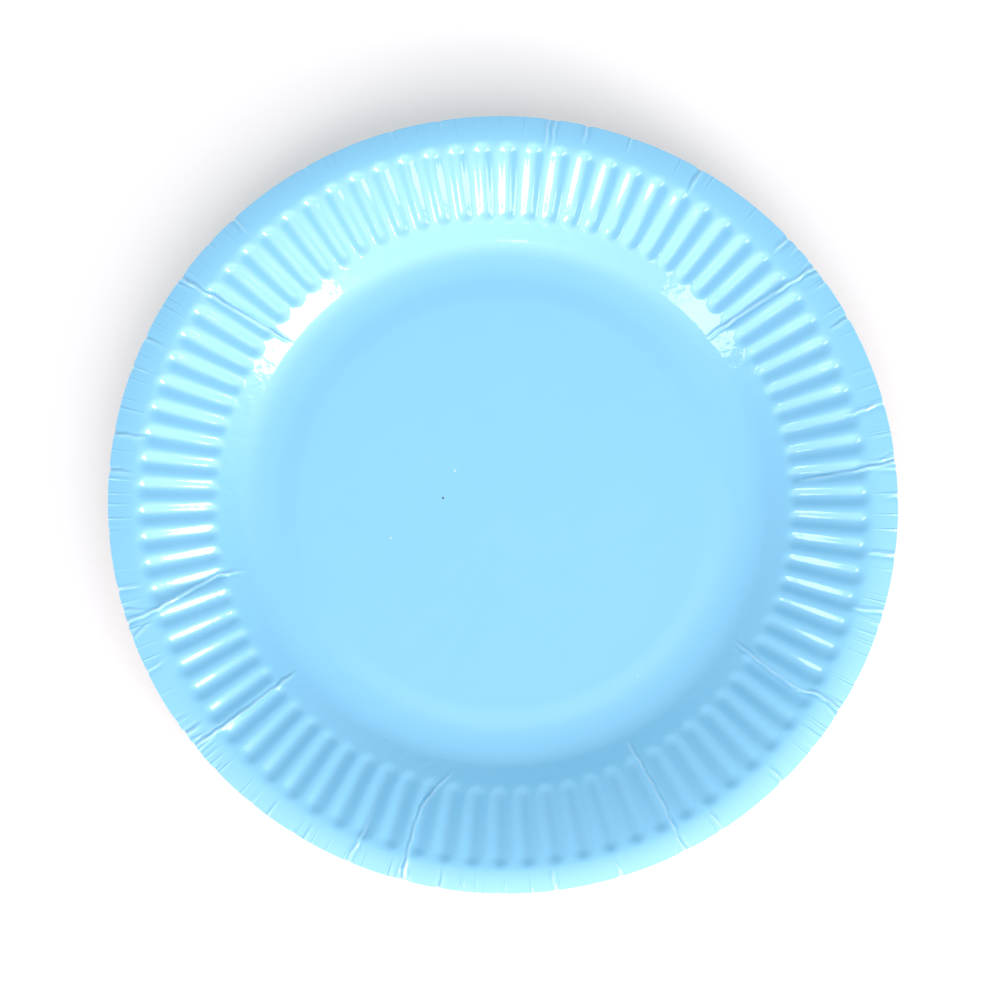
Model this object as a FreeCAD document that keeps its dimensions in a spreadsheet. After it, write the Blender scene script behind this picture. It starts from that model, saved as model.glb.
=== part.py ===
import FreeCAD
import Part
import math
import os
import re

import Sketcher

# A pressed paper plate: one sheet of board with a raised centre, a flat foot ring, a fluted
# wall and a domed rim. Millimetres, +Z up, origin on the table under the plate's centre.

# Driving dimensions: alias, value, what it is
SIZES = [
    ("rim_dia", 180.0, "across the cut edge"),
    ("height", 13.1, "from the table to the top of the rim"),
    ("card", 0.4, "thickness of the board"),
    ("disc_dia", 97.0, "flat raised centre"),
    ("step_width", 3.0, "ring in which the centre steps down to the foot"),
    ("disc_rise", 0.7, "height of the raised centre above the foot"),
    ("foot_dia", 114.8, "outer edge of the flat foot ring"),
    ("heel_radius", 9.0, "inside bend from the foot to the wall"),
    ("rim_width", 5.6, "from the wall to the cut edge, seen from above"),
    ("crest_inset", 5.4, "from the rim's highest circle to the cut edge"),
    ("dome_radius", 12.0, "upper face of the rim in section"),
    ("flute_count", 84, "flutes pressed into the wall"),
    ("flute_depth", 1.0, "square to the wall"),
    ("flute_land", 1.2, "wall left between two flutes at their inner ends"),
    ("flute_side", 48.0, "slope of a flute's sides and ends, degrees from the wall"),
    ("flute_start_gap", 3.2, "plain wall below the flutes, measured up the slope"),
    ("flute_end_gap", 0.3, "plain wall above the flutes, measured up the slope"),
]

# Formulas that follow from the driving dimensions. The section's middle line stands for the
# board: it leaves the foot in the heel's arc, runs straight up the wall and ends in the dome.
WORKED = {
    "half": "card / 2",
    "foot": "foot_dia / 2",
    "heel_bend": "heel_radius + half",
    "dome_bend": "dome_radius - half",
    "crest": "rim_dia / 2 - crest_inset",
    "wall_end": "rim_dia / 2 - rim_width",
    "wall_top": "height - half - dome_bend + sqrt(dome_bend ^ 2 - (crest - wall_end) ^ 2)",
    # The wall is the tangent from its top end to the heel's arc
    "reach": "wall_end - foot",
    "climb": "wall_top - heel_bend - half",
    "span": "sqrt(reach ^ 2 + climb ^ 2)",
    "slope": "atan(climb / reach) + asin(heel_bend / span)",
    "wall_run": "sqrt(span ^ 2 - heel_bend ^ 2)",
    "wall_start": "foot + heel_bend * sin(slope)",
    "wall_base": "half + heel_bend * (1 - cos(slope))",
    # A flute's outline on the wall's upper face, with half a regular octagon at each end
    "flute_length": "wall_run - flute_start_gap - flute_end_gap",
    "flute_centre": "flute_start_gap + flute_length / 2",
    "flute_pitch": "2 * pi * (wall_start + flute_start_gap * cos(slope)) / flute_count",
    "flute_width": "flute_pitch - flute_land",
    "octagon_cut": "1 / (1 + sqrt(2))",
    "side": "flute_side * 1deg",
}

doc = FreeCAD.newDocument("paper_plate")
sheet = doc.addObject("Spreadsheet::Sheet", "sizes")
for row, (alias, value, note) in enumerate(SIZES, start=1):
    sheet.set("A%d" % row, alias)
    sheet.set("B%d" % row, str(value))
    sheet.set("C%d" % row, note)
    sheet.setAlias("B%d" % row, alias)
doc.recompute()

ALIASES = [alias for alias, value, note in SIZES]


def formula(text):
    """Spell out the worked names in a formula and point the driving ones at the sheet."""
    def spell(match):
        word = match.group(0)
        if word in WORKED:
            return "(" + formula(WORKED[word]) + ")"
        return "sizes." + word if word in ALIASES else word
    return re.sub(r"[a-z_]+", spell, text)


def number(text):
    """What a formula comes to, in millimetres or radians."""
    result = FreeCAD.Units.Quantity(sheet.evalExpression(formula(text)))
    return math.radians(result.Value) if result.Unit == FreeCAD.Units.Angle else result.Value


def origin_item(body, role):
    return next(item for item in body.Origin.OriginFeatures if item.Role == role)


def add_sketch(body, name, role):
    sketch = body.newObject("Sketcher::SketchObject", name)
    sketch.AttachmentSupport = [(origin_item(body, role), "")]
    sketch.MapMode = "FlatFace"
    sketch.Visibility = False
    return sketch


def tie(sketch, kind, *where):
    """Add a constraint that holds no size."""
    sketch.addConstraint(Sketcher.Constraint(kind, *where))


def measure(sketch, name, text, kind, *where):
    """Add a dimension that follows a formula."""
    index = sketch.addConstraint(Sketcher.Constraint(kind, *where, number(text)))
    sketch.renameConstraint(index, name)
    sketch.setExpression("Constraints." + name, formula(text))


def line(start, end):
    return Part.LineSegment(FreeCAD.Vector(*start, 0), FreeCAD.Vector(*end, 0))


def arc(centre, radius, start, end):
    circle = Part.Circle(FreeCAD.Vector(*centre, 0), FreeCAD.Vector(0, 0, 1), radius)
    return Part.ArcOfCircle(circle, start, end)


def around(centre, radius, angle):
    return (centre[0] + radius * math.cos(angle), centre[1] + radius * math.sin(angle))


def board_face(lift):
    """One face of the board in section, from the axis to the edge, lift above the underside."""
    disc = number("disc_dia / 2")
    step = disc + number("step_width")
    high = number("disc_rise") + lift
    foot = number("foot")
    square = math.pi / 2
    slope = number("slope")

    heel_centre = (foot, number("heel_radius + card"))
    heel = (heel_centre, number("heel_radius + card") - lift)
    dome_centre = (number("crest"), number("height - dome_radius"))
    dome = (dome_centre, number("dome_radius - card") + lift)
    dome_start = square + math.asin(number("(crest - wall_end) / dome_bend"))
    dome_end = math.acos(number("crest_inset / dome_radius"))
    return [
        line((0, high), (disc, high)),
        line((disc, high), (step, lift)),
        line((step, lift), (foot, lift)),
        arc(*heel, -square, slope - square),
        line(around(*heel, slope - square), around(*dome, dome_start)),
        arc(*dome, dome_end, dome_start),
    ]


def add_board(body):
    """The board's section, turned once round the axis."""
    sketch = add_sketch(body, "board_section", "XZ_Plane")
    under = sketch.addGeometry(board_face(0), False)
    upper = sketch.addGeometry(board_face(number("card")), False)
    disc, step, foot, heel, wall, dome = range(6)
    for face in (under, upper):
        tie(sketch, "PointOnObject", face[disc], 1, -2)
        tie(sketch, "Horizontal", face[disc])
        tie(sketch, "Coincident", face[disc], 2, face[step], 1)
        tie(sketch, "Coincident", face[step], 2, face[foot], 1)
        tie(sketch, "Horizontal", face[foot])
        tie(sketch, "Tangent", face[foot], 2, face[heel], 1)
        tie(sketch, "Tangent", face[heel], 2, face[wall], 1)
        tie(sketch, "Coincident", face[wall], 2, face[dome], 2)
    tie(sketch, "PointOnObject", under[foot], 2, -1)
    tie(sketch, "Vertical", under[disc], 2, upper[disc], 2)
    tie(sketch, "Vertical", under[foot], 1, upper[foot], 1)
    tie(sketch, "Coincident", under[heel], 3, upper[heel], 3)
    tie(sketch, "Parallel", under[wall], upper[wall])
    tie(sketch, "Coincident", under[dome], 3, upper[dome], 3)

    drawn = sketch.Geometry
    axis, edge = sketch.addGeometry([
        Part.LineSegment(drawn[under[disc]].StartPoint, drawn[upper[disc]].StartPoint),
        Part.LineSegment(drawn[under[dome]].StartPoint, drawn[upper[dome]].StartPoint),
    ], False)
    for cap, piece in ((axis, disc), (edge, dome)):
        tie(sketch, "Coincident", cap, 1, under[piece], 1)
        tie(sketch, "Coincident", cap, 2, upper[piece], 1)
    tie(sketch, "PointOnObject", upper[dome], 3, edge)

    measure(sketch, "card", "card", "DistanceY", under[foot], 2, upper[foot], 2)
    measure(sketch, "rise", "disc_rise", "DistanceY", under[foot], 1, under[disc], 2)
    measure(sketch, "rise_upper", "disc_rise", "DistanceY", upper[foot], 1, upper[disc], 2)
    measure(sketch, "disc", "disc_dia / 2", "DistanceX", -1, 1, under[disc], 2)
    measure(sketch, "step", "step_width", "DistanceX", under[disc], 2, under[foot], 1)
    measure(sketch, "foot", "foot", "DistanceX", -1, 1, under[foot], 2)
    measure(sketch, "heel", "heel_radius", "Radius", upper[heel])
    measure(sketch, "slope", "slope", "Angle", under[wall])
    measure(sketch, "dome", "dome_radius", "Radius", upper[dome])
    measure(sketch, "dome_under", "dome_radius - card", "Radius", under[dome])
    measure(sketch, "dome_level", "height - dome_radius", "DistanceY", -1, 1, upper[dome], 3)
    measure(sketch, "crest", "crest", "DistanceX", -1, 1, upper[dome], 3)
    measure(sketch, "rim", "rim_dia / 2", "DistanceX", -1, 1, upper[dome], 1)

    board = body.newObject("PartDesign::Revolution", "board")
    board.Profile = sketch
    board.ReferenceAxis = (sketch, ["V_Axis"])
    board.Angle = 360


def add_flutes(body, name, kind, level, grow, height):
    """One flute and its copies round the axis, pressed down from a level above mid-board.

    The outline is the flute's on the wall's upper face, grown all round. The sides close in
    on the way down.
    """
    sketch = add_sketch(body, name + "_outline", "XY_Plane")
    tilt = FreeCAD.Rotation(FreeCAD.Vector(0, -1, 0), 1)
    sketch.AttachmentOffset = FreeCAD.Placement(FreeCAD.Vector(), tilt)
    sketch.setExpression("AttachmentOffset.Rotation.Angle", formula("slope"))
    place = {
        "x": "wall_start + flute_centre * cos(slope) - (%s) * sin(slope)" % level,
        "z": "wall_base + flute_centre * sin(slope) + (%s) * cos(slope)" % level,
    }
    for axis, text in place.items():
        sketch.setExpression("AttachmentOffset.Base." + axis, formula(text))

    # A long octagon: the two tips, the two flanks, and a cut corner between each pair
    flank = "flute_width / 2 + %s" % grow
    tip = "flute_length / 2 + %s" % grow
    tip_half = "(%s) * octagon_cut" % flank
    flank_half = "%s - (%s) * (1 - octagon_cut)" % (tip, flank)
    right = [(number(tip), -number(tip_half)), (number(tip), number(tip_half))]
    left = [(-x, -y) for x, y in right]
    back = [(number(flank_half), number(flank)), (-number(flank_half), number(flank))]
    front = [(-x, -y) for x, y in back]
    corners = right + back + left + front
    sides = sketch.addGeometry([line(a, b) for a, b in zip(corners, corners[1:] + corners[:1])], False)
    for side, following in zip(sides, sides[1:] + sides[:1]):
        tie(sketch, "Coincident", side, 2, following, 1)
    right_tip, back_flank, left_tip, front_flank = sides[::2]
    for end in (right_tip, left_tip):
        tie(sketch, "Symmetric", end, 1, end, 2, -1)
    for edge in (back_flank, front_flank):
        tie(sketch, "Symmetric", edge, 1, edge, 2, -2)
    tie(sketch, "Symmetric", right_tip, 1, left_tip, 1, -1, 1)
    tie(sketch, "Symmetric", back_flank, 1, front_flank, 1, -1, 1)
    measure(sketch, "tip", tip, "DistanceX", -1, 1, right_tip, 2)
    measure(sketch, "tip_half", tip_half, "DistanceY", -1, 1, right_tip, 2)
    measure(sketch, "flank", flank, "DistanceY", -1, 1, back_flank, 1)
    measure(sketch, "flank_half", flank_half, "DistanceX", -1, 1, back_flank, 1)

    flute = body.newObject(kind, name)
    flute.Profile = sketch
    flute.setExpression("Length", formula(height))
    flute.setExpression("TaperAngle", formula("side - 90deg"))
    flute.Reversed = kind == "PartDesign::Pad"
    pattern = body.newObject("PartDesign::PolarPattern", name + "s")
    pattern.Originals = [flute]
    pattern.Axis = (origin_item(body, "Z_Axis"), [""])
    pattern.Angle = 360
    pattern.setExpression("Occurrences", formula("flute_count"))
    body.Tip = pattern


def recompute():
    """Recompute, and stop if any object of the document failed."""
    doc.recompute()
    for item in doc.Objects:
        if "Invalid" in item.State or "Error" in item.State:
            raise RuntimeError(item.Name + " failed")


plate = doc.addObject("PartDesign::Body", "plate")
plate.Label = "plate"
add_board(plate)
recompute()

# A flute's rib hangs below the board from its middle: the groove's faces, one board further out
add_flutes(plate, "rib", "PartDesign::Pad", "0", "card / sin(side) - half / tan(side)", "flute_depth + half")
recompute()
ribbed_volume = plate.Shape.Volume

# Its groove is cut from half a board above the wall, so that it breaks through the upper face
add_flutes(plate, "groove", "PartDesign::Pocket", "card", "half / tan(side)", "flute_depth + half")
recompute()

if plate.Shape.isNull() or not plate.Shape.isValid() or len(plate.Shape.Solids) != 1:
    raise RuntimeError("the plate isn't one valid solid")
if plate.Shape.Volume >= ribbed_volume:
    raise RuntimeError("the grooves cut nothing")
print("volume %.0f mm3, ribs filled %.0f mm3" % (plate.Shape.Volume, ribbed_volume))

os.makedirs("parts", exist_ok=True)
plate.Shape.exportStep("parts/" + plate.Label + ".step")
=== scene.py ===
"""A round party plate of pressed board, glossy sky blue above and bare below, seen from straight above."""

import math

import bpy
import numpy as np
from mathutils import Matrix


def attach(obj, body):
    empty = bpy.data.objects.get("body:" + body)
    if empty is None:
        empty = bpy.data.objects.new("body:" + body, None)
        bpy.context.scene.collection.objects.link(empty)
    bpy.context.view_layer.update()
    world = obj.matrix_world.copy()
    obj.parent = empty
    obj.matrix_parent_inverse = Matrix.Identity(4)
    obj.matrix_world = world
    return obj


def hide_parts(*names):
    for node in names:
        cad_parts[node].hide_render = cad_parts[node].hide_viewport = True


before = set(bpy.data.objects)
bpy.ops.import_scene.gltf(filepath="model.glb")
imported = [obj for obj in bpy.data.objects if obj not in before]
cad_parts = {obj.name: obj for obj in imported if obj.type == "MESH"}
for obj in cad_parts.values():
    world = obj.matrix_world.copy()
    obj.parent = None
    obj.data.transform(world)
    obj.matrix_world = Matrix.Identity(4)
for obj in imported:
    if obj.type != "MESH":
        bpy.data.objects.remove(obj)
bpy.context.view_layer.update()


# The blank. A disc of 0.4 mm plate board, drawn down between heated dies into a dish: raised middle, foot
# ring, heel, wall, and a rim that rolls over outwards. Its section is held as pairs of radius and slope,
# read from the light on the plate. The wall's slope is scaled so that the rim stands at its full height.
MM = 0.001
plate_radius = 90.0
rim_height = 13.1
board = 0.4
middle_top = 0.8
middle_radius = 46.9
foot_radius = 53.2
crest_radius = 84.6

middle_slopes = [(0, 0), (middle_radius, 0), (48.6, -8), (51.2, -8), (foot_radius, 0)]
heel_slopes = [(55.0, 2.5), (57.0, 4), (58.5, 10), (60.0, 21), (60.8, 26), (61.3, 33), (62.5, 35.5)]
wall_slopes = [(65.0, 35.5), (66.5, 32), (69.0, 29.5), (73.0, 26.5), (77.0, 23), (80.0, 19), (82.0, 14)]
rim_slopes = [(83.6, 7), (crest_radius, 0), (87.0, -11), (plate_radius, -21)]
slope_radius, slope_degrees = zip(*(middle_slopes + heel_slopes + wall_slopes + rim_slopes))
fine_radius = np.linspace(0, plate_radius, 9001)
fine_slope = np.tan(np.radians(np.interp(fine_radius, slope_radius, slope_degrees)))
step_to_next = fine_radius[1]
on_wall = (fine_radius > foot_radius) & (fine_radius < crest_radius)
fine_slope[on_wall] *= (rim_height - board) / (fine_slope[on_wall].sum() * step_to_next)
on_step = fine_radius < foot_radius
fine_slope[on_step] *= (board - middle_top) / (fine_slope[on_step].sum() * step_to_next)
fine_height = middle_top + np.cumsum(fine_slope) * step_to_next

# Board can't shrink round the rim, so it gathers there in small pleats. Each pleat is how far in it reaches,
# how high its fold stands, and its line from the cut edge inwards as pairs of radius and angle.
pleats = [
    (67.0, 0.30, [(90, 6.6), (84.3, 6.2), (67.3, 4.7)]),
    (60.2, 0.34, [(90, 37.5), (84.3, 37.8), (60.2, 39.2)]),
    (60.2, 0.34, [(90, 144.5), (84.3, 144.2), (60.2, 142.5)]),
    (60.8, 0.38, [(90, 197.2), (84.3, 196.8), (74.7, 195.3), (67.3, 193.9), (60.9, 194.7)]),
    (60.2, 0.32, [(90, 217.8), (84.3, 218.0), (60.2, 218.9)]),
    (62.4, 0.38, [(90, 254.8), (77.9, 254.4), (71.5, 254.9), (66.4, 257.2), (62.5, 259.4)]),
    (60.2, 0.34, [(90, 297.8), (76.0, 298.3), (60.2, 297.9)]),
    (61.4, 0.36, [(90, 328.8), (84.3, 329.2), (79.3, 328.1), (70.1, 328.4), (61.4, 329.5)]),
]
long_count = len(pleats)
pleats += [
    (77.9, 0.26, [(90, 15.3), (77.9, 14.5)]),
    (77.4, 0.26, [(90, 246.4), (77.4, 247.2)]),
    (81.1, 0.24, [(90, 344.5), (81.1, 343.6)]),
    (81.6, 0.24, [(90, 169.3), (81.6, 168.9)]),
    (84.3, 0.24, [(90, 205.0), (84.3, 204.3)]),
    (84.0, 0.22, [(90, 195.3), (84.3, 196.1)]),
    (84.0, 0.22, [(90, 199.4), (84.3, 197.9)]),
]
straight_pleats = [
    (82.2, 0.26, (59.7, 82.2, 83.2, 277.8, 304.0, 352.8)),
    (84.4, 0.38, (28.7, 43.2, 77.5, 133.1, 154.7, 174.7, 192.2, 215.6, 260.6, 287.7, 315.4)),
    (86.4, 0.21, (1.5, 35.0, 41.3, 70.6, 99.5, 106.5, 138.1, 159.4, 213.4, 222.5)),
    (86.8, 0.18, (229.7, 333.4, 342.4, 120.4, 183.6, 237.5, 269.2, 322.0)),
]
for reach, ridge, turns in straight_pleats:
    pleats += [(reach, ridge, [(plate_radius, turn)]) for turn in turns]

# A long pleat has a small one on either side of it that runs together with it at the rim's crest. Those of
# the fourth are in the list above, on lines of their own.
meeting_radius = 84.3
small_ridge = 0.15
apart_at_edge = 1.1
apart_at_meeting = 0.5
for reach, ridge, line in pleats[:3] + pleats[4:long_count]:
    edge_turn = line[0][1]
    meeting_turn = np.interp(meeting_radius, *zip(*sorted(line)))
    for side in (-1, 1):
        edge_point = (plate_radius, edge_turn + apart_at_edge * side)
        meeting_point = (meeting_radius, meeting_turn + apart_at_meeting * side)
        pleats.append((crest_radius, small_ridge, [edge_point, meeting_point]))


def pleat_turn(pleat, radius):
    """The angle, in degrees, of a pleat's fold at each radius."""
    return np.interp(radius, *zip(*sorted(pleat[2])))


# The blank's mesh has rings where the section bends, and spokes: twelve to each flute and seven close
# together on each pleat.
flute_count = 84
rings = np.concatenate(
    [
        [0, 18, 34],
        np.linspace(middle_radius, foot_radius, 8),
        [55.2, 56.9],
        [57.6, 58.5, 59.3, 60.0, 60.5, 60.9, 61.3, 61.8, 62.6, 63.6, 64.4],
        np.linspace(65.0, 67.4, 5),
        [68.4, 70.2, 72.4, 74.6, 76.8, 78.6, 80.0],
        np.linspace(81.0, crest_radius, 8),
        [85.3, 86.2, 87.2, 88.2, 89.2, plate_radius],
    ]
)
even_count = flute_count * 12
spokes = np.arange(even_count) * 360 / even_count
edge_turns = np.array([pleat_turn(pleat, plate_radius) for pleat in pleats])
from_fold = np.abs((spokes[:, None] - edge_turns + 180) % 360 - 180).min(axis=1)
clear_of_fold = 0.74
by_folds = edge_turns[:, None] + np.array([-0.58, -0.36, -0.17, 0, 0.17, 0.36, 0.58])
spokes = np.sort(np.append(spokes[from_fold > clear_of_fold], by_folds) % 360)
closest = 0.05
spokes = spokes[np.diff(spokes, append=spokes[0] + 360) > closest]

# The spokes follow the folds inwards. A short pleat leads its spokes as far as its own inner end and gives
# them up over the next few millimetres to the long pleats on either side, so that no two spokes cross.
handover = 6
in_order = np.argsort(edge_turns)
fold_turns = edge_turns[in_order]
are_long = np.flatnonzero(in_order < long_count)
ring_of = np.repeat(rings[1:, None], len(spokes), axis=1)
turn_of = np.empty_like(ring_of)
for place, ring in enumerate(rings[1:]):
    past_end = np.array([ring - pleats[number][0] for number in in_order])
    reaches = np.clip((past_end + handover) / handover, 0, 1)
    turns_here = np.array([pleat_turn(pleats[number], ring) for number in in_order])
    own = reaches * (turns_here - fold_turns)
    carried = np.interp(fold_turns, fold_turns[are_long], own[are_long], period=360)
    drift = own + (1 - reaches) * carried
    drift[are_long] = own[are_long]
    turn_of[place] = spokes + np.interp(spokes, fold_turns, drift, period=360)
turn_of = np.radians(turn_of)
height_of = np.interp(ring_of, fine_radius, fine_height)
points = np.stack([ring_of * np.cos(turn_of), ring_of * np.sin(turn_of), height_of], axis=-1)
points = np.concatenate([[[0, 0, middle_top]], points.reshape(-1, 3)]) * MM

spoke_total = len(spokes)
every_spoke = np.arange(spoke_total)
neighbours = list(zip(every_spoke.tolist(), ((every_spoke + 1) % spoke_total).tolist()))
faces = [(0, 1 + a, 1 + b) for a, b in neighbours]
for band in range(len(rings) - 2):
    inner = 1 + band * spoke_total
    outer = inner + spoke_total
    faces += [(inner + a, outer + a, outer + b, inner + b) for a, b in neighbours]
blank_mesh = bpy.data.meshes.new("blank")
blank_mesh.from_pydata(points.tolist(), [], faces)
blank_mesh.shade_smooth()
blank = bpy.data.objects.new("blank", blank_mesh)
bpy.context.scene.collection.objects.link(blank)

# The printed face: offset ink under a clear gloss varnish. The ink is a little mottled and has a few specks
# in it.
# Along the sharpest folds a pale line is painted in, partly cracked print and partly a painted highlight.
gloss_face = bpy.data.materials.new("sky_blue_gloss")
gloss_face.use_nodes = True
nodes = gloss_face.node_tree.nodes
links = gloss_face.node_tree.links
face_shader = nodes["Principled BSDF"]
face_shader.inputs["IOR"].default_value = 1.5
face_shader.inputs["Coat Weight"].default_value = 1.0
face_shader.inputs["Coat Roughness"].default_value = 0.10
face_shader.inputs["Coat IOR"].default_value = 1.8

face_place = nodes.new("ShaderNodeTexCoord")
ink_mottle = nodes.new("ShaderNodeTexNoise")
ink_mottle.inputs["Scale"].default_value = 55
ink_mottle.inputs["Detail"].default_value = 4
links.new(face_place.outputs["Object"], ink_mottle.inputs["Vector"])
ink = nodes.new("ShaderNodeMix")
ink.data_type = "RGBA"
ink.inputs["A"].default_value = (0.258, 0.691, 0.98, 1)
ink.inputs["B"].default_value = (0.276, 0.707, 0.99, 1)
links.new(ink_mottle.outputs["Fac"], ink.inputs["Factor"])

fold_line = nodes.new("ShaderNodeAttribute")
fold_line.attribute_name = "fold"
# Pale tint along the folds: partly cracked print, partly a painted highlight on each fold's ridge.
crack_and_highlight_tint = nodes.new("ShaderNodeMix")
crack_and_highlight_tint.data_type = "RGBA"
crack_and_highlight_tint.inputs["B"].default_value = (0.66, 0.86, 0.97, 1)
links.new(fold_line.outputs["Fac"], crack_and_highlight_tint.inputs["Factor"])
links.new(ink.outputs["Result"], crack_and_highlight_tint.inputs["A"])

# Each speck is its place on the middle, its radius and its colour.
dark = (0.03, 0.05, 0.06, 1)
pale = (0.62, 0.86, 0.98, 1)
specks = [
    ("dark_speck", (-13.9, 1.4), 0.34, dark),
    ("pale_speck", (-11.1, 7.7), 0.38, pale),
    ("pale_speck", (-26.0, -7.9), 0.34, pale),
    ("pale_speck", (31.3, -39.9), 0.40, pale),
    ("pale_speck", (23.7, -45.0), 0.36, pale),
]
speckled = crack_and_highlight_tint.outputs["Result"]
for name, spot, speck_radius, tint in specks:
    from_spot = nodes.new("ShaderNodeVectorMath")
    from_spot.operation = "DISTANCE"
    from_spot.inputs[1].default_value = (spot[0] * MM, spot[1] * MM, middle_top * MM)
    links.new(face_place.outputs["Object"], from_spot.inputs[0])
    in_spot = nodes.new("ShaderNodeMapRange")
    in_spot.inputs["From Min"].default_value = speck_radius * MM
    in_spot.inputs["From Max"].default_value = 0.5 * speck_radius * MM
    links.new(from_spot.outputs["Value"], in_spot.inputs["Value"])
    speck = nodes.new("ShaderNodeMix")
    speck.name = name
    speck.data_type = "RGBA"
    speck.inputs["B"].default_value = tint
    links.new(in_spot.outputs["Result"], speck.inputs["Factor"])
    links.new(speckled, speck.inputs["A"])
    speckled = speck.outputs["Result"]
links.new(speckled, face_shader.inputs["Base Color"])

varnish = nodes.new("ShaderNodeMapRange")
varnish.inputs["To Min"].default_value = 0.26
varnish.inputs["To Max"].default_value = 0.36
links.new(ink_mottle.outputs["Fac"], varnish.inputs["Value"])
links.new(varnish.outputs["Result"], face_shader.inputs["Roughness"])

# The board shows through the varnish as four kinds of unevenness, laid one on the other. First, fine gathers
# that run straight out across the rim.
outwards = nodes.new("ShaderNodeVectorMath")
outwards.operation = "MULTIPLY"
outwards.inputs[1].default_value = (1, 1, 0)
links.new(face_place.outputs["Object"], outwards.inputs[0])
direction = nodes.new("ShaderNodeVectorMath")
direction.operation = "NORMALIZE"
links.new(outwards.outputs[0], direction.inputs[0])
gathers = nodes.new("ShaderNodeTexNoise")
gathers.inputs["Scale"].default_value = 75
gathers.inputs["Detail"].default_value = 1.5
links.new(direction.outputs[0], gathers.inputs["Vector"])
few_gathers = nodes.new("ShaderNodeMapRange")
few_gathers.inputs["From Min"].default_value = 0.58
few_gathers.inputs["From Max"].default_value = 0.84
links.new(gathers.outputs["Fac"], few_gathers.inputs["Value"])
reach_out = nodes.new("ShaderNodeVectorMath")
reach_out.operation = "LENGTH"
links.new(outwards.outputs[0], reach_out.inputs[0])
on_rim = nodes.new("ShaderNodeMapRange")
on_rim.interpolation_type = "SMOOTHSTEP"
on_rim.inputs["From Min"].default_value = 83.8 * MM
on_rim.inputs["From Max"].default_value = 89.0 * MM
links.new(reach_out.outputs["Value"], on_rim.inputs["Value"])
gathered = nodes.new("ShaderNodeMath")
gathered.operation = "MULTIPLY"
links.new(few_gathers.outputs["Result"], gathered.inputs[0])
links.new(on_rim.outputs["Result"], gathered.inputs[1])
gather_bump = nodes.new("ShaderNodeBump")
gather_bump.inputs["Distance"].default_value = 0.35 * MM
gather_bump.inputs["Strength"].default_value = 0.7
links.new(gathered.outputs[0], gather_bump.inputs["Height"])

# Second, a slight cockle all over.
cockle = nodes.new("ShaderNodeTexNoise")
cockle.inputs["Scale"].default_value = 140
cockle.inputs["Detail"].default_value = 2
links.new(face_place.outputs["Object"], cockle.inputs["Vector"])
cockle_bump = nodes.new("ShaderNodeBump")
cockle_bump.inputs["Distance"].default_value = 0.1 * MM
cockle_bump.inputs["Strength"].default_value = 0.5
links.new(cockle.outputs["Fac"], cockle_bump.inputs["Height"])
links.new(gather_bump.outputs["Normal"], cockle_bump.inputs["Normal"])

# Third, a crumple where the heel meets the flutes, which breaks up the edges of the shine there.
crumple = nodes.new("ShaderNodeTexNoise")
crumple.inputs["Scale"].default_value = 420
crumple.inputs["Detail"].default_value = 2
links.new(face_place.outputs["Object"], crumple.inputs["Vector"])
past_heel = nodes.new("ShaderNodeMapRange")
past_heel.interpolation_type = "SMOOTHSTEP"
past_heel.inputs["From Min"].default_value = 59.0 * MM
past_heel.inputs["From Max"].default_value = 62.5 * MM
links.new(reach_out.outputs["Value"], past_heel.inputs["Value"])
low_on_wall = nodes.new("ShaderNodeMapRange")
low_on_wall.interpolation_type = "SMOOTHSTEP"
low_on_wall.inputs["From Min"].default_value = 76.0 * MM
low_on_wall.inputs["From Max"].default_value = 66.0 * MM
links.new(reach_out.outputs["Value"], low_on_wall.inputs["Value"])
where_crumpled = nodes.new("ShaderNodeMath")
where_crumpled.operation = "MULTIPLY"
links.new(past_heel.outputs["Result"], where_crumpled.inputs[0])
links.new(low_on_wall.outputs["Result"], where_crumpled.inputs[1])
crumpled = nodes.new("ShaderNodeMath")
crumpled.operation = "MULTIPLY"
links.new(crumple.outputs["Fac"], crumpled.inputs[0])
links.new(where_crumpled.outputs[0], crumpled.inputs[1])
crumple_bump = nodes.new("ShaderNodeBump")
crumple_bump.inputs["Distance"].default_value = 0.24 * MM
crumple_bump.inputs["Strength"].default_value = 0.45
links.new(crumpled.outputs[0], crumple_bump.inputs["Height"])
links.new(cockle_bump.outputs["Normal"], crumple_bump.inputs["Normal"])

# Last, the fibres of the board.
fibres = nodes.new("ShaderNodeTexNoise")
fibres.inputs["Scale"].default_value = 900
fibres.inputs["Detail"].default_value = 3
links.new(face_place.outputs["Object"], fibres.inputs["Vector"])
fibre_bump = nodes.new("ShaderNodeBump")
fibre_bump.inputs["Distance"].default_value = 0.01 * MM
fibre_bump.inputs["Strength"].default_value = 0.4
links.new(fibres.outputs["Fac"], fibre_bump.inputs["Height"])
links.new(crumple_bump.outputs["Normal"], fibre_bump.inputs["Normal"])
links.new(fibre_bump.outputs["Normal"], face_shader.inputs["Normal"])
links.new(fibre_bump.outputs["Normal"], face_shader.inputs["Coat Normal"])

# The flutes. Eighty-four grooves with round ends, pressed square into the wall by the ribbed die as the dish
# is formed. They stiffen the wall and take up its slack. Each is a little wider and deeper at the rim than
# at the foot, and they stand a little closer together on the far side of the plate than on the near one.
press = bpy.data.node_groups.new("press_flutes", "GeometryNodeTree")
press.is_modifier = True
press.interface.new_socket("Plate", in_out="INPUT", socket_type="NodeSocketGeometry")
press.interface.new_socket("Plate", in_out="OUTPUT", socket_type="NodeSocketGeometry")
flute_sizes = {
    "Flutes": flute_count,
    "Inner depth": 0.88 * MM,
    "Outer depth": 1.07 * MM,
    "Inner end": 65.3 * MM,
    "Outer end": 84.3 * MM,
    "Inner width": 4.8 * MM,
    "Outer width": 5.9 * MM,
    "First flute": math.radians(-0.7),
    "Drift": math.radians(2.25),
    "Drift from": math.radians(176.4),
    "Second drift": math.radians(0.4),
}
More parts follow.
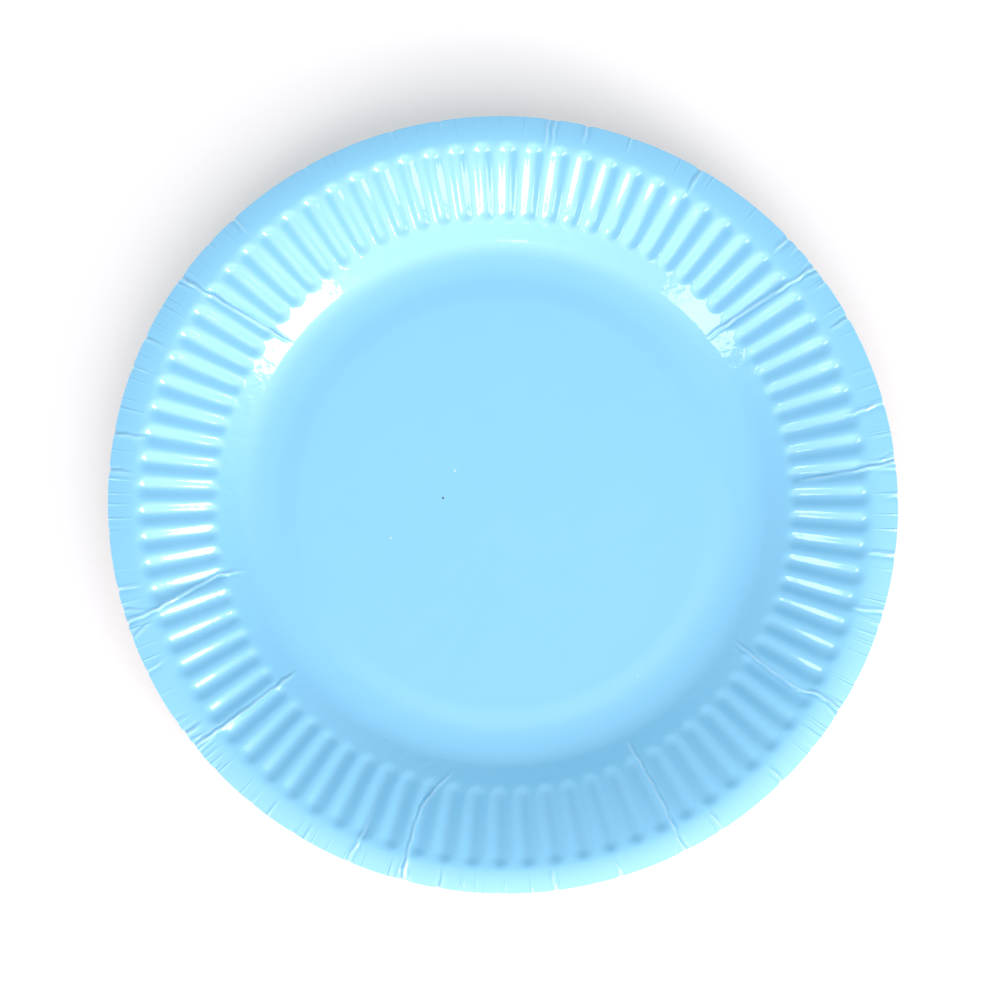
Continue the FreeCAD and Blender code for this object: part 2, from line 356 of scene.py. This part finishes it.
for name, size in flute_sizes.items():
    kind = "NodeSocketInt" if name == "Flutes" else "NodeSocketFloat"
    press.interface.new_socket(name, in_out="INPUT", socket_type=kind).default_value = size
press.interface.new_socket("Face", in_out="INPUT", socket_type="NodeSocketMaterial")


def press_node(kind, **inputs):
    """A node of the press tree: set_ marks a setting, i and a number an input by place, the rest by name."""
    node = press.nodes.new(kind)
    for key, value in inputs.items():
        if key.startswith("set_"):
            setattr(node, key[4:], value)
    for key, value in inputs.items():
        if key.startswith("set_"):
            continue
        socket = node.inputs[int(key[1:])] if key[0] == "i" and key[1:].isdigit() else node.inputs[key]
        if isinstance(value, bpy.types.NodeSocket):
            press.links.new(value, socket)
        else:
            socket.default_value = value
    return node


def maths(operation, *values):
    """One Math node of the press tree."""
    slots = {f"i{place}": value for place, value in enumerate(values)}
    return press_node("ShaderNodeMath", set_operation=operation, **slots).outputs[0]


given = press.nodes.new("NodeGroupInput").outputs
position = press.nodes.new("GeometryNodeInputPosition").outputs[0]
where = press_node("ShaderNodeSeparateXYZ", Vector=position).outputs
from_axis = maths("SQRT", maths("ADD", maths("POWER", where["X"], 2), maths("POWER", where["Y"], 2)))
bearing = maths("ARCTAN2", where["Y"], where["X"])
drifted = maths("MULTIPLY", maths("COSINE", maths("SUBTRACT", bearing, given["Drift from"])), given["Drift"])
twice = maths("MULTIPLY", maths("SINE", maths("MULTIPLY", bearing, 2)), given["Second drift"])
turn = maths("ADD", maths("SUBTRACT", bearing, given["First flute"]), maths("ADD", drifted, twice))
half_pitch = maths("DIVIDE", math.pi, given["Flutes"])
across = maths("MULTIPLY", maths("WRAP", turn, half_pitch, maths("MULTIPLY", half_pitch, -1)), from_axis)
inner_half = maths("MULTIPLY", given["Inner width"], 0.5)
outer_half = maths("MULTIPLY", given["Outer width"], 0.5)
half_width = press_node(
    "ShaderNodeMapRange",
    Value=from_axis,
    i1=given["Inner end"],
    i2=given["Outer end"],
    i3=inner_half,
    i4=outer_half,
).outputs[0]
inner_centre = maths("ADD", given["Inner end"], inner_half)
outer_centre = maths("SUBTRACT", given["Outer end"], outer_half)
nearest = maths("MINIMUM", maths("MAXIMUM", from_axis, inner_centre), outer_centre)
beyond = maths("SUBTRACT", from_axis, nearest)
off_line = maths("SQRT", maths("ADD", maths("POWER", across, 2), maths("POWER", beyond, 2)))
off_share = maths("MINIMUM", maths("DIVIDE", off_line, half_width), 1)
sunk = maths("MULTIPLY_ADD", maths("COSINE", maths("MULTIPLY", off_share, math.pi)), 0.5, 0.5)
depth = press_node(
    "ShaderNodeMapRange",
    Value=from_axis,
    i1=given["Inner end"],
    i2=given["Outer end"],
    i3=given["Inner depth"],
    i4=given["Outer depth"],
).outputs[0]
down = maths("MULTIPLY", maths("MULTIPLY", sunk, depth), -1)
outward = press.nodes.new("GeometryNodeInputNormal").outputs[0]
square_to_wall = press_node("ShaderNodeVectorMath", set_operation="SCALE", i0=outward, Scale=down)
pressed = press_node("GeometryNodeSetPosition", Geometry=given["Plate"], Offset=square_to_wall.outputs[0])
real = press_node("GeometryNodeRealizeInstances", Geometry=pressed.outputs[0])
faced = press_node("GeometryNodeSetMaterial", Geometry=real.outputs[0], Material=given["Face"])
press.links.new(faced.outputs[0], press.nodes.new("NodeGroupOutput").inputs[0])

die = blank.modifiers.new("press_flutes", "NODES")
die.node_group = press
sockets = {item.name: item.identifier for item in press.interface.items_tree if item.in_out == "INPUT"}
for name, size in flute_sizes.items():
    die[sockets[name]] = size
die[sockets["Face"]] = gloss_face
fluted_mesh = bpy.data.meshes.new_from_object(blank.evaluated_get(bpy.context.evaluated_depsgraph_get()))
blank.modifiers.clear()
blank.data = fluted_mesh

# The pleats. Along each one the board is gathered into a low sharp ridge, steep on one side, with a groove
# at its foot. The fold wanders a little, pulls the cut edge in, and dies away where the pleat ends. A pale
# line is painted along its ridge, partly cracked print and partly a painted highlight. Distances from the
# fold are in millimetres.
wide_wander = 0.14
fine_wander = 0.05
fade_length = 5.0
ridge_scale = 1.3
ridge_off = 0.12
ridge_gentle = 0.72
ridge_steep = 0.42
groove_share = 0.55
groove_off = -0.48
groove_half = 0.36
# Strength, offset and half width of the pale line painted along each ridge: cracked print and painted
# highlight.
crack_and_highlight_strength = 0.75
crack_and_highlight_off = 0.2
crack_and_highlight_half = 0.14
ridge_of_full_crack_and_highlight = 0.34
pull_half = 0.7

count = len(fluted_mesh.vertices)
flat = np.empty(count * 3)
fluted_mesh.vertices.foreach_get("co", flat)
points = flat.reshape(-1, 3) / MM
fluted_mesh.vertex_normals.foreach_get("vector", flat)
facing = flat.reshape(-1, 3).copy()
radius = np.hypot(points[:, 0], points[:, 1])
turn_now = np.degrees(np.arctan2(points[:, 1], points[:, 0]))
at_edge = np.clip((radius - crest_radius) / (plate_radius - crest_radius), 0, 1)
lift = np.zeros(count)
pull = np.zeros(count)
fold = np.zeros(count)
creasing = np.random.default_rng(3)
for number, pleat in enumerate(pleats):
    reach, ridge, line = pleat
    side = 1 if number % 3 else -1
    beside = side * np.radians((turn_now - pleat_turn(pleat, radius) + 180) % 360 - 180) * radius
    beside += wide_wander * np.sin(radius * creasing.uniform(0.9, 1.8) + creasing.uniform(0, 6))
    beside += fine_wander * np.sin(radius * creasing.uniform(3.0, 4.5) + creasing.uniform(0, 6))
    along = np.clip((radius - reach) / fade_length, 0, 1)
    along = along * along * (3 - 2 * along)
    along *= 0.85 + 0.25 * np.sin(radius * creasing.uniform(0.6, 1.4) + creasing.uniform(0, 6))
    ridge_half = np.where(beside > ridge_off, ridge_gentle, ridge_steep)
    crest = np.clip(1 - np.abs(beside - ridge_off) / ridge_half, 0, 1)
    groove = np.clip(1 - np.abs(beside - groove_off) / groove_half, 0, 1)
    lift += ridge_scale * ridge * along * (crest - groove_share * groove)
    pull += at_edge * ridge * np.exp(-np.square(beside / pull_half))
    # The pale line along the ridge: partly cracked print, partly a painted highlight.
    crack_and_highlight = along * np.exp(-np.square((beside - crack_and_highlight_off) / crack_and_highlight_half))
    fold = np.maximum(fold, crack_and_highlight_strength * min(1, ridge / ridge_of_full_crack_and_highlight) * crack_and_highlight)
points += facing * lift[:, None]

# Drying and handling leave the plate out of round, and the rim a little wavy and a little low.
flat_radius = 57
oval_share = 0.0080
oval_turn = math.radians(10.7)
wave_height = 0.25
sag = 0.2
at_rim = np.clip((radius - flat_radius) / (plate_radius - flat_radius), 0, 1)
turn_round = np.arctan2(points[:, 1], points[:, 0])
out_of_round = 1 + oval_share * at_rim * np.cos(2 * (turn_round + oval_turn))
wave = np.zeros(count)
wobble = np.random.default_rng(7)
for ripple in (3, 4, 5, 7, 9, 13, 17, 23):
    wave += wobble.uniform(0.2, 1.0) / ripple * np.sin(ripple * turn_round + wobble.uniform(0, 2 * math.pi))
points[:, :2] *= (out_of_round - pull / plate_radius)[:, None]
points[:, 2] += np.square(at_rim) * (wave_height * wave - sag)
fluted_mesh.vertices.foreach_set("co", (points * MM).ravel())
fluted_mesh.update()

# The whole board. The pressed face gets its thickness: a bare underside 0.4 mm below it, with the flutes
# standing out of it as ribs, and the cut edge that closes the two, white where the punch went through. The
# underside keeps every ring of the middle and of the cut edge, and every second one between them.
kept_within = 57
kept_beyond = 88
fluted_mesh.vertex_normals.foreach_get("vector", flat)
facing = flat.reshape(-1, 3)
always_kept = (rings[1:] < kept_within) | (rings[1:] > kept_beyond)
under_rings = [place for place, kept in enumerate(always_kept) if kept or place % 2 == 0]
under = [0]
for place in under_rings:
    under += (1 + place * spoke_total + every_spoke).tolist()
under_points = points[under] - facing[under] * board
all_points = np.concatenate([points, under_points])
all_faces = list(faces)
all_faces += [(count, count + 1 + b, count + 1 + a) for a, b in neighbours]
for band in range(len(under_rings) - 1):
    inner = count + 1 + band * spoke_total
    outer = inner + spoke_total
    all_faces += [(inner + b, outer + b, outer + a, inner + a) for a, b in neighbours]
top_edge = count - spoke_total
low_edge = len(all_points) - spoke_total
all_faces += [(top_edge + a, low_edge + a, low_edge + b, top_edge + b) for a, b in neighbours]
plate_mesh = bpy.data.meshes.new("paper_plate")
plate_mesh.from_pydata((all_points * MM).tolist(), [], all_faces)
plate_mesh.shade_smooth()
fold_mark = plate_mesh.attributes.new("fold", "FLOAT", "POINT")
fold_mark.data.foreach_set("value", np.concatenate([fold, np.zeros(len(under_points))]))
for edge in plate_mesh.edges:
    first, last = sorted(edge.vertices)
    on_top_corner = first >= top_edge and last < count
    edge.use_edge_sharp = on_top_corner or first >= low_edge

# Bare board: white wood pulp, uncoated, with its fibres in the surface and a faint cloudiness.
bare_board = bpy.data.materials.new("bare_white_board")
bare_board.use_nodes = True
nodes = bare_board.node_tree.nodes
links = bare_board.node_tree.links
board_shader = nodes["Principled BSDF"]
board_shader.inputs["Roughness"].default_value = 0.78
board_place = nodes.new("ShaderNodeTexCoord")
pulp = nodes.new("ShaderNodeTexNoise")
pulp.inputs["Scale"].default_value = 260
pulp.inputs["Detail"].default_value = 6
links.new(board_place.outputs["Object"], pulp.inputs["Vector"])
pulp_colour = nodes.new("ShaderNodeMix")
pulp_colour.data_type = "RGBA"
pulp_colour.inputs["A"].default_value = (0.78, 0.77, 0.74, 1)
pulp_colour.inputs["B"].default_value = (0.88, 0.87, 0.85, 1)
links.new(pulp.outputs["Fac"], pulp_colour.inputs["Factor"])
links.new(pulp_colour.outputs["Result"], board_shader.inputs["Base Color"])
pulp_bump = nodes.new("ShaderNodeBump")
pulp_bump.inputs["Distance"].default_value = 0.06 * MM
pulp_bump.inputs["Strength"].default_value = 0.6
links.new(pulp.outputs["Fac"], pulp_bump.inputs["Height"])
links.new(pulp_bump.outputs["Normal"], board_shader.inputs["Normal"])

plate_mesh.materials.append(gloss_face)
plate_mesh.materials.append(bare_board)
bare = np.zeros(len(plate_mesh.polygons), dtype=np.int32)
bare[len(faces) :] = 1
plate_mesh.polygons.foreach_set("material_index", bare)
plate_mesh.update()
plate = bpy.data.objects.new("paper_plate", plate_mesh)
bpy.context.scene.collection.objects.link(plate)
bpy.data.objects.remove(blank)
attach(plate, "root")
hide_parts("plate")

# The set: a seamless floor of a warm white, which glows a little so that it shows pure white to the camera
# and in reflections, and keeps the plate's shadow.
floor_half = 4
floor_level = -0.1 * MM
floor_corners = [(-1, -1), (1, -1), (1, 1), (-1, 1)]
floor_mesh = bpy.data.meshes.new("floor")
floor_points = [(floor_half * x, floor_half * y, floor_level) for x, y in floor_corners]
floor_mesh.from_pydata(floor_points, [], [(0, 1, 2, 3)])
floor = bpy.data.objects.new("floor", floor_mesh)
bpy.context.scene.collection.objects.link(floor)
white_floor = bpy.data.materials.new("white_floor")
white_floor.use_nodes = True
nodes = white_floor.node_tree.nodes
links = white_floor.node_tree.links
floor_shader = nodes["Principled BSDF"]
floor_shader.inputs["Base Color"].default_value = (0.965, 0.93, 0.90, 1)
floor_shader.inputs["Roughness"].default_value = 1.0
floor_shader.inputs["Specular IOR Level"].default_value = 0.0
floor_shader.inputs["Emission Color"].default_value = (1, 1, 1, 1)
floor_path = nodes.new("ShaderNodeLightPath")
seen_sharp = nodes.new("ShaderNodeMath")
seen_sharp.operation = "ADD"
seen_sharp.use_clamp = True
links.new(floor_path.outputs["Is Glossy Ray"], seen_sharp.inputs[0])
links.new(floor_path.outputs["Is Transmission Ray"], seen_sharp.inputs[1])
seen_at_all = nodes.new("ShaderNodeMath")
seen_at_all.operation = "ADD"
seen_at_all.use_clamp = True
links.new(floor_path.outputs["Is Camera Ray"], seen_at_all.inputs[0])
links.new(seen_sharp.outputs[0], seen_at_all.inputs[1])
floor_glow = nodes.new("ShaderNodeMath")
floor_glow.operation = "MULTIPLY"
floor_glow.inputs[1].default_value = 0.13
links.new(seen_at_all.outputs[0], floor_glow.inputs[0])
links.new(floor_glow.outputs[0], floor_shader.inputs["Emission Strength"])
floor_mesh.materials.append(white_floor)

# Studio light: a pale sky, white at the horizon and dimmer on the far side, with a broad warm window tilted
# up on the near side, which fades towards its sill.
world = bpy.data.worlds.new("studio")
bpy.context.scene.world = world
world.use_nodes = True
nodes = world.node_tree.nodes
links = world.node_tree.links
sky_place = nodes.new("ShaderNodeTexCoord")
sky_height = nodes.new("ShaderNodeSeparateXYZ")
links.new(sky_place.outputs["Generated"], sky_height.inputs[0])
window_azimuth = math.radians(-73)
window_height = math.radians(25)
level_way = nodes.new("ShaderNodeVectorMath")
level_way.operation = "DOT_PRODUCT"
level_way.inputs[1].default_value = (math.cos(window_azimuth), math.sin(window_azimuth), 0)
links.new(sky_place.outputs["Generated"], level_way.inputs[0])
away_level = nodes.new("ShaderNodeMapRange")
away_level.inputs["From Min"].default_value = -1.0
away_level.inputs["From Max"].default_value = -0.6
links.new(level_way.outputs["Value"], away_level.inputs["Value"])
plain_sky = nodes.new("ShaderNodeMix")
plain_sky.data_type = "RGBA"
plain_sky.inputs["A"].default_value = (0.31, 0.52, 0.64, 1)
plain_sky.inputs["B"].default_value = (0.635, 0.695, 0.765, 1)
links.new(away_level.outputs["Result"], plain_sky.inputs["Factor"])
sky_level = nodes.new("ShaderNodeMapRange")
sky_level.inputs["From Min"].default_value = 0.0
sky_level.inputs["From Max"].default_value = 0.3
links.new(sky_height.outputs["Z"], sky_level.inputs["Value"])
sky_colour = nodes.new("ShaderNodeMix")
sky_colour.data_type = "RGBA"
sky_colour.inputs["A"].default_value = (1.0, 1.0, 1.0, 1)
links.new(sky_level.outputs["Result"], sky_colour.inputs["Factor"])
links.new(plain_sky.outputs["Result"], sky_colour.inputs["B"])

window_way = nodes.new("ShaderNodeVectorMath")
window_way.operation = "DOT_PRODUCT"
window_way.inputs[1].default_value = (
    math.cos(window_azimuth) * math.cos(window_height),
    math.sin(window_azimuth) * math.cos(window_height),
    math.sin(window_height),
)
links.new(sky_place.outputs["Generated"], window_way.inputs[0])
window_level = nodes.new("ShaderNodeMapRange")
window_level.inputs["From Min"].default_value = 0.42
window_level.inputs["To Max"].default_value = 1.35
links.new(window_way.outputs["Value"], window_level.inputs["Value"])
sill_level = nodes.new("ShaderNodeMapRange")
sill_level.inputs["From Max"].default_value = 0.4
sill_level.inputs["To Min"].default_value = 0.35
links.new(sky_height.outputs["Z"], sill_level.inputs["Value"])
window_light = nodes.new("ShaderNodeMath")
window_light.operation = "MULTIPLY"
links.new(window_level.outputs["Result"], window_light.inputs[0])
links.new(sill_level.outputs["Result"], window_light.inputs[1])
window_warmth = nodes.new("ShaderNodeMix")
window_warmth.data_type = "RGBA"
window_warmth.blend_type = "MULTIPLY"
window_warmth.inputs["Factor"].default_value = 1.0
window_warmth.inputs["B"].default_value = (1.0, 0.85, 0.84, 1)
links.new(window_light.outputs[0], window_warmth.inputs["A"])
sky_light = nodes.new("ShaderNodeMix")
sky_light.data_type = "RGBA"
sky_light.blend_type = "ADD"
sky_light.inputs["Factor"].default_value = 1.0
links.new(sky_colour.outputs["Result"], sky_light.inputs["A"])
links.new(window_warmth.outputs["Result"], sky_light.inputs["B"])
links.new(sky_light.outputs["Result"], nodes["Background"].inputs["Color"])


# Two low soft boxes stand right and left of the window, and a narrow one almost straight ahead.
def soft_box(name, azimuth, elevation, width, height, watts):
    """A soft box one metre from the plate and facing it, placed by its two angles in degrees."""
    lamp = bpy.data.lights.new(name, "AREA")
    lamp.shape = "RECTANGLE"
    lamp.size = width
    lamp.size_y = height
    lamp.energy = watts
    box = bpy.data.objects.new(name, lamp)
    level = math.cos(math.radians(elevation))
    box.location = (
        level * math.cos(math.radians(azimuth)),
        level * math.sin(math.radians(azimuth)),
        math.sin(math.radians(elevation)),
    )
    box.rotation_euler = (math.radians(90 - elevation), 0, math.radians(azimuth + 90))
    bpy.context.scene.collection.objects.link(box)


soft_box("right_soft_box", azimuth=-43.5, elevation=22, width=0.35, height=0.33, watts=2.6)
soft_box("left_soft_box", azimuth=-134.5, elevation=22, width=0.26, height=0.33, watts=0.95)
soft_box("front_soft_box", azimuth=-93, elevation=32, width=0.05, height=0.20, watts=0.13)

# The camera looks down from straight above, leaning under three degrees to the far side. The frame's centre
# falls just beside the plate's: the rim's centre and radius are given in pixels of the photo.
photo_side = 1000
rim_centre_pixel = (503.0, 506.3)
rim_radius_pixels = 392.2
rim_level = 12.0 * MM
lean = math.radians(2.7)
pixel = plate_radius * MM / rim_radius_pixels
camera_data = bpy.data.cameras.new("camera")
camera_data.lens = 180
camera_data.sensor_width = 36
camera_distance = photo_side * pixel * camera_data.lens / camera_data.sensor_width
aim_x = -(rim_centre_pixel[0] - photo_side / 2) * pixel
aim_y = (rim_centre_pixel[1] - photo_side / 2) * pixel
camera = bpy.data.objects.new("camera", camera_data)
camera.location = (
    aim_x,
    aim_y + camera_distance * math.sin(lean),
    rim_level + camera_distance * math.cos(lean),
)
camera.rotation_euler = (-lean, 0, 0)
bpy.context.scene.collection.objects.link(camera)
bpy.context.scene.camera = camera
bpy.context.scene.view_settings.view_transform = "Standard"
